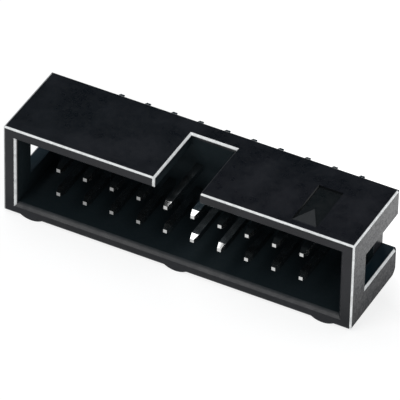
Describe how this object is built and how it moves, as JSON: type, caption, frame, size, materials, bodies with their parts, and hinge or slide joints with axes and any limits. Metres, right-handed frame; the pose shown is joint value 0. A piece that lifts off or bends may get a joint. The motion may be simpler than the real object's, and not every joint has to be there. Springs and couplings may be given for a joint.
{
  "type": "idc box header",
  "caption": "Shrouded box header with a key slot, end notches and straight square pins for soldering through a circuit board.",
  "frame": {"origin": "middle of the contact grid on the board face", "axes": "+X along the rows, towards the first contact; +Y out of the board face, with the solder tails; +Z through the long wall with the key slot. The part lies on its plain long wall."},
  "size_m": [0.0328, 0.012, 0.0093],
  "materials": {
    "housing_plastic": "black glass-filled plastic, satin from the mould",
    "pin_metal": "brass wire with bright tin plating"
  },
  "bodies": {
    "root": {"housing": "housing_plastic", "pin_01": "pin_metal", "pin_02": "pin_metal", "pin_03": "pin_metal", "pin_04": "pin_metal", "pin_05": "pin_metal", "pin_06": "pin_metal", "pin_07": "pin_metal", "pin_08": "pin_metal", "pin_09": "pin_metal", "pin_10": "pin_metal", "pin_11": "pin_metal", "pin_12": "pin_metal", "pin_13": "pin_metal", "pin_14": "pin_metal", "pin_15": "pin_metal", "pin_16": "pin_metal", "pin_17": "pin_metal", "pin_18": "pin_metal", "pin_19": "pin_metal", "pin_20": "pin_metal"}
  },
  "joints": []
}
